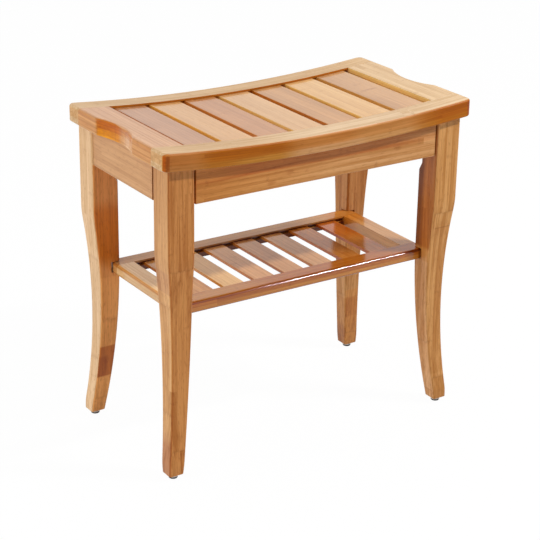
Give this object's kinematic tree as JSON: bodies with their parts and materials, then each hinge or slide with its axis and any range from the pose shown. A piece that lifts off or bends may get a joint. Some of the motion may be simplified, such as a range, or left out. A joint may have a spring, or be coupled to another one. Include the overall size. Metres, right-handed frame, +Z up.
{
  "type": "bath stool",
  "caption": "Bamboo bath stool with a dished slatted seat in a frame, shaped legs with flared feet, aprons under the seat and a slatted shelf between the legs.",
  "frame": {"origin": "on the floor under the middle of the seat", "axes": "+X along the seat to the right as pictured, +Y from the pictured front to the back, +Z up"},
  "size_m": [0.476, 0.256, 0.4516],
  "materials": {
    "bamboo": "clear satin lacquer",
    "dowel_wood": "plain, glued",
    "steel": "zinc plated",
    "glide_plastic": "moulded",
    "pad": "matt"
  },
  "bodies": {
    "root": {"apron_dowels": "dowel_wood", "block_screws": "steel", "front_apron": "bamboo", "front_left_corner_block": "bamboo", "front_left_foot_pad": "pad", "front_left_glide": "glide_plastic", "front_left_leg": "bamboo", "front_right_corner_block": "bamboo", "front_right_foot_pad": "pad", "front_right_glide": "glide_plastic", "front_right_leg": "bamboo", "left_apron": "bamboo", "leg_bolts": "steel", "leg_inserts": "steel", "leg_washers": "steel", "rear_apron": "bamboo", "rear_left_corner_block": "bamboo", "rear_left_foot_pad": "pad", "rear_left_glide": "glide_plastic", "rear_left_leg": "bamboo", "rear_right_corner_block": "bamboo", "rear_right_foot_pad": "pad", "rear_right_glide": "glide_plastic", "rear_right_leg": "bamboo", "right_apron": "bamboo", "seat_frame_dowels": "dowel_wood", "seat_front_rail": "bamboo", "seat_left_end_board": "bamboo", "seat_rear_rail": "bamboo", "seat_right_end_board": "bamboo", "seat_slat_1": "bamboo", "seat_slat_2": "bamboo", "seat_slat_3": "bamboo", "seat_slat_4": "bamboo", "seat_slat_5": "bamboo", "seat_slat_6": "bamboo", "seat_slat_7": "bamboo", "shelf_frame_dowels": "dowel_wood", "shelf_front_rail": "bamboo", "shelf_left_end_board": "bamboo", "shelf_rear_rail": "bamboo", "shelf_right_end_board": "bamboo", "shelf_slat_1": "bamboo", "shelf_slat_2": "bamboo", "shelf_slat_3": "bamboo", "shelf_slat_4": "bamboo", "shelf_slat_5": "bamboo", "shelf_slat_6": "bamboo", "shelf_slat_7": "bamboo"}
  },
  "joints": []
}
